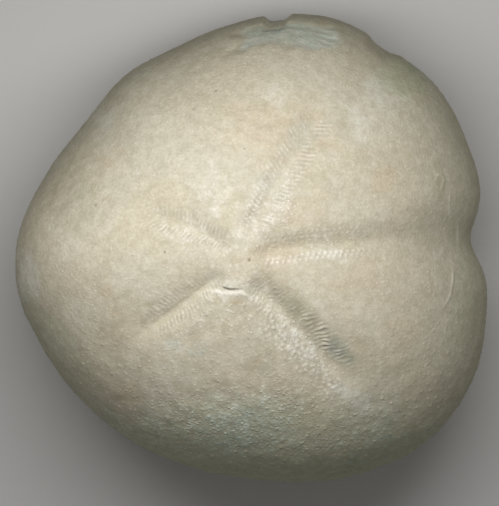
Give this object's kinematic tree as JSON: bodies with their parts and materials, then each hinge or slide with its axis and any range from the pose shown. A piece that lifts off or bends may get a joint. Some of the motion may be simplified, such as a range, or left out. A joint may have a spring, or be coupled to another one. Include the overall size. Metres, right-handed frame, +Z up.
{
  "type": "fossil heart urchin",
  "caption": "Fossil heart urchin: a chalky, heart-shaped sea urchin test with petal grooves, a front notch and a chipped margin, lying on its underside.",
  "frame": {"origin": "under the middle of the test's bounding box, on the surface that it rests on", "axes": "+X towards the front, where the notch is; +Y towards the animal's left side; +Z up, out of the petalled upper side"},
  "size_m": [0.06, 0.0594, 0.038],
  "materials": {
    "fossil_chalk": "matte, chalky"
  },
  "bodies": {
    "root": {"urchin_test": "fossil_chalk"}
  },
  "joints": []
}
